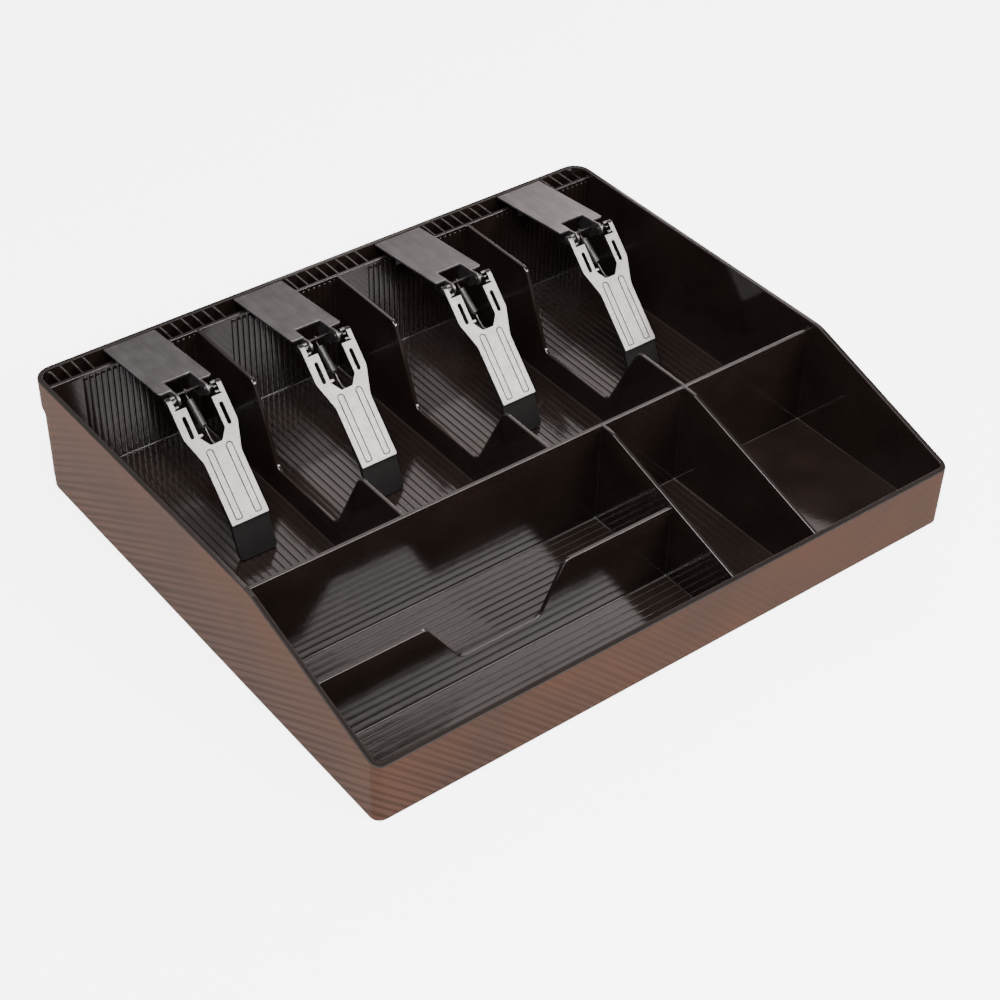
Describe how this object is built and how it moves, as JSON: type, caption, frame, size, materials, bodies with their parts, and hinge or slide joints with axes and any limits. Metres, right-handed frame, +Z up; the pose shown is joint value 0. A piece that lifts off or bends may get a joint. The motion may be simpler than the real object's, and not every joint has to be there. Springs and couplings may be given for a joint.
{
  "type": "cash drawer insert tray",
  "caption": "Moulded insert tray of a cash drawer, with bill compartments under sprung hold-down clips, low front coin compartments and a sloping front rim.",
  "frame": {"origin": "middle of the tray's footprint, on the surface it rests on", "axes": "+X to the right along the width, +Y to the rear where the clips are fixed, +Z up"},
  "size_m": [0.325, 0.276, 0.0664],
  "materials": {
    "tray_plastic": "glossy black-brown moulding, matt brown grained outer walls",
    "satin_steel": "satin grey sheet",
    "bright_steel": "bright fine-grained sheet",
    "spring_steel": "dark wire",
    "pad_rubber": "matt dark grey"
  },
  "bodies": {
    "root": {"tray": "tray_plastic", "clip_1_bracket": "satin_steel", "clip_1_spring_rod": "bright_steel", "clip_1_pin_left": "bright_steel", "clip_1_pin_right": "bright_steel", "clip_2_bracket": "satin_steel", "clip_2_spring_rod": "bright_steel", "clip_2_pin_left": "bright_steel", "clip_2_pin_right": "bright_steel", "clip_3_bracket": "satin_steel", "clip_3_spring_rod": "bright_steel", "clip_3_pin_left": "bright_steel", "clip_3_pin_right": "bright_steel", "clip_4_bracket": "satin_steel", "clip_4_spring_rod": "bright_steel", "clip_4_pin_left": "bright_steel", "clip_4_pin_right": "bright_steel"},
    "lever_1": {"clip_1_lever": "bright_steel", "clip_1_pad": "pad_rubber", "clip_1_spring": "spring_steel"},
    "lever_2": {"clip_2_lever": "bright_steel", "clip_2_pad": "pad_rubber", "clip_2_spring": "spring_steel"},
    "lever_3": {"clip_3_lever": "bright_steel", "clip_3_pad": "pad_rubber", "clip_3_spring": "spring_steel"},
    "lever_4": {"clip_4_lever": "bright_steel", "clip_4_pad": "pad_rubber", "clip_4_spring": "spring_steel"}
  },
  "joints": [
    {"name": "clip_1_lift", "type": "hinge", "parent": "root", "child": "lever_1", "pos_m": [-0.112, 0.0785, 0.062], "axis": [-1, 0, 0], "range_deg": [0, 100], "stiffness_Nm_per_rad": 0.02, "springref_deg": -85.94, "deforming": ["clip_1_spring"]},
    {"name": "clip_2_lift", "type": "hinge", "parent": "root", "child": "lever_2", "pos_m": [-0.0407, 0.0785, 0.062], "axis": [-1, 0, 0], "range_deg": [0, 100], "stiffness_Nm_per_rad": 0.02, "springref_deg": -85.94, "deforming": ["clip_2_spring"]},
    {"name": "clip_3_lift", "type": "hinge", "parent": "root", "child": "lever_3", "pos_m": [0.0424, 0.0785, 0.062], "axis": [-1, 0, 0], "range_deg": [0, 100], "stiffness_Nm_per_rad": 0.02, "springref_deg": -85.94, "deforming": ["clip_3_spring"]},
    {"name": "clip_4_lift", "type": "hinge", "parent": "root", "child": "lever_4", "pos_m": [0.1198, 0.0785, 0.062], "axis": [-1, 0, 0], "range_deg": [0, 100], "stiffness_Nm_per_rad": 0.02, "springref_deg": -85.94, "deforming": ["clip_4_spring"]}
  ]
}
